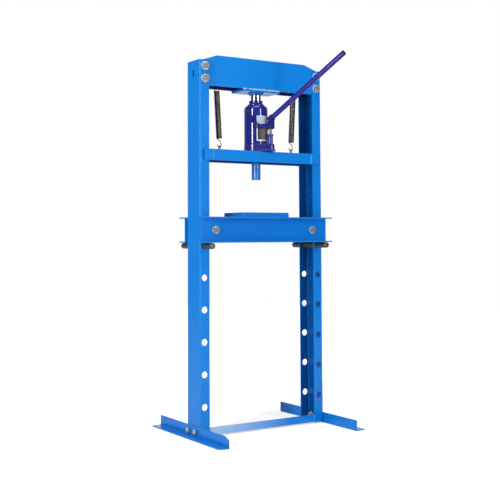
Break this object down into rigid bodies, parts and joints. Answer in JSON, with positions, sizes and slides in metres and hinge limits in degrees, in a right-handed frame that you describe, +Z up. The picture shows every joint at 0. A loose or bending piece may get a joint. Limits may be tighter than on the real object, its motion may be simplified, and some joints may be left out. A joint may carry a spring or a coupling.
{
  "type": "hydraulic shop press",
  "caption": "Floor-standing H-frame press: a bottle jack on a sprung ram beam presses work against a pinned, height-adjustable bed with loose arbor plates.",
  "frame": {"origin": "on the floor, under the middle of the press's outline, the pump handle included; the frame's own middle plane lies 44.4 mm behind it", "axes": "+Z up; +X to the right, seen from the front; +Y to the back, away from the pump handle"},
  "size_m": [0.5746, 0.5448, 1.2751],
  "materials": {
    "frame_paint": "gloss",
    "jack_paint": "gloss",
    "handle_paint": "gloss",
    "zinc_fastener": "satin",
    "chrome_rod": "polished",
    "bare_steel": "satin",
    "spring_steel": "satin",
    "dark_steel": "satin",
    "rubber": "matte"
  },
  "bodies": {
    "frame": {"foot_bolt_left_back": "zinc_fastener", "foot_bolt_left_front": "zinc_fastener", "foot_bolt_right_back": "zinc_fastener", "foot_bolt_right_front": "zinc_fastener", "head_bolt_back_left_lower": "zinc_fastener", "head_bolt_back_left_upper": "zinc_fastener", "head_bolt_back_right_lower": "zinc_fastener", "head_bolt_back_right_upper": "zinc_fastener", "head_bolt_front_left_lower": "zinc_fastener", "head_bolt_front_left_upper": "zinc_fastener", "head_bolt_front_right_lower": "zinc_fastener", "head_bolt_front_right_upper": "zinc_fastener", "head_plate_back": "frame_paint", "head_plate_front": "frame_paint", "jack_piston": "chrome_rod", "jack_seat_plate": "frame_paint", "left_foot": "frame_paint", "left_post": "frame_paint", "return_spring_left": "spring_steel", "return_spring_right": "spring_steel", "right_foot": "frame_paint", "right_post": "frame_paint", "seat_cup": "frame_paint", "spring_rod_left": "frame_paint", "spring_rod_right": "frame_paint", "tie_bar": "frame_paint"},
    "ram": {"ram_beam": "frame_paint", "ram_tube": "frame_paint", "eye_bolt_left": "zinc_fastener", "eye_bolt_right": "zinc_fastener", "jack_base": "jack_paint", "jack_tank": "jack_paint", "jack_cylinder": "bare_steel", "jack_top_nut": "jack_paint", "filler_plug": "rubber", "pump_cylinder": "jack_paint", "fulcrum_strap_left": "jack_paint", "fulcrum_strap_right": "jack_paint", "strap_bolt_left": "zinc_fastener", "strap_bolt_right": "zinc_fastener", "fulcrum_pin_left": "dark_steel", "fulcrum_pin_right": "dark_steel"},
    "lever": {"pump_lever": "jack_paint"},
    "handle": {"handle_tube": "handle_paint"},
    "plunger": {"pump_plunger": "chrome_rod", "plunger_pin": "dark_steel"},
    "valve": {"release_valve": "zinc_fastener"},
    "bed": {"bed_channel_front": "frame_paint", "bed_channel_back": "frame_paint", "bed_bolt_left": "zinc_fastener", "bed_bolt_right": "zinc_fastener", "bed_spacer_left": "zinc_fastener", "bed_spacer_right": "zinc_fastener"},
    "plate_left": {"arbor_plate_left": "frame_paint"},
    "plate_right": {"arbor_plate_right": "frame_paint"},
    "pin_left": {"support_pin_left": "dark_steel"},
    "pin_right": {"support_pin_right": "dark_steel"}
  },
  "joints": [
    {"name": "ram_slide", "type": "slide", "parent": "frame", "child": "ram", "axis": [0, 0, -1], "range_m": [0, 0.09], "stiffness_N_per_m": 1200, "springref_m": -0.15, "deforming": ["return_spring_left", "return_spring_right"]},
    {"name": "lever_hinge", "type": "hinge", "parent": "ram", "child": "lever", "pos_m": [0.01359, 0.01655, 1.0373], "axis": [0.8988, 0.4384, 0], "range_deg": [-5, 25]},
    {"name": "plunger_slide", "type": "slide", "parent": "ram", "child": "plunger", "axis": [0, 0, -1], "range_m": [-0.003, 0.013]},
    {"name": "handle_slide", "type": "slide", "parent": "lever", "child": "handle", "axis": [0.3569, -0.7317, 0.5807], "range_m": [0, 0.015]},
    {"name": "valve_hinge", "type": "hinge", "parent": "ram", "child": "valve", "pos_m": [0.04594, 0.05334, 0.9633], "axis": [0.9816, 0.1908, 0], "range_deg": [0, 270]},
    {"name": "bed_slide", "type": "slide", "parent": "frame", "child": "bed", "axis": [0, 0, 1], "range_m": [0, 0.02]},
    {"name": "plate_left_slide", "type": "slide", "parent": "bed", "child": "plate_left", "axis": [-1, 0, 0], "range_m": [0, 0.055]},
    {"name": "plate_right_slide", "type": "slide", "parent": "bed", "child": "plate_right", "axis": [1, 0, 0], "range_m": [0, 0.08]},
    {"name": "pin_left_slide", "type": "slide", "parent": "frame", "child": "pin_left", "axis": [0, -1, 0], "range_m": [0, 0.145]},
    {"name": "pin_right_slide", "type": "slide", "parent": "frame", "child": "pin_right", "axis": [0, -1, 0], "range_m": [0, 0.145]}
  ],
  "couplings": [
    {"joint": "plunger_slide", "follows": "lever_hinge", "m_per_rad": 0.028}
  ]
}
